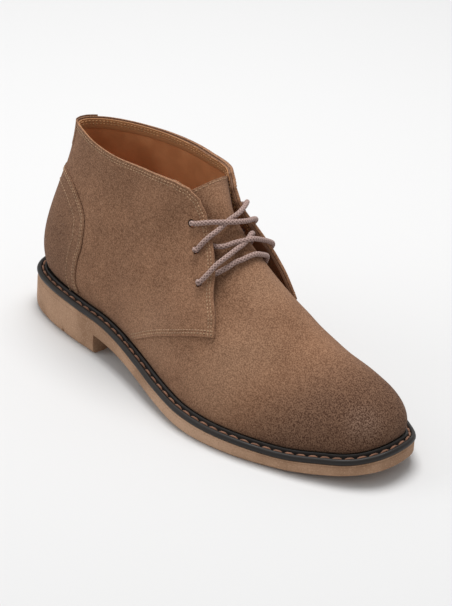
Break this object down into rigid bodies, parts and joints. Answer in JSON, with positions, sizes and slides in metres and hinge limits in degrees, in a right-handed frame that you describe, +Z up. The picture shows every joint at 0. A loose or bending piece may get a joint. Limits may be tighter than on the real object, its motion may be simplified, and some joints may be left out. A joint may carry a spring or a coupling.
{
  "type": "chukka boot",
  "caption": "Right-foot suede chukka boot with a hollow lasted upper, open lace throat with tongue and crossed laces, a stitched rim welt and a crepe-look sole with a low heel",
  "frame": {"origin": "middle of the bounding box on the ground plane the boot stands on", "axes": "+X towards the toe, +Y towards the inner side of the foot, +Z up"},
  "size_m": [0.303, 0.1097, 0.1347],
  "materials": {
    "crepe": "tan crepe-look moulded rubber, matt and finely pitted",
    "welt_rubber": "dark charcoal moulded rubber, satin",
    "lining": "smooth tan leather lining",
    "suede": "brown suede with a fine uneven nap",
    "lace": "round braided mauve-brown cotton cord",
    "dark_suede": "burnished darker brown suede"
  },
  "bodies": {
    "root": {"outsole": "crepe", "welt": "welt_rubber", "insole": "lining", "upper": "suede", "heel_counter": "dark_suede", "back_tab": "suede", "tongue": "suede", "lace_top_cross": "lace", "lace_middle_cross": "lace", "lace_low_bar": "lace"}
  },
  "joints": []
}
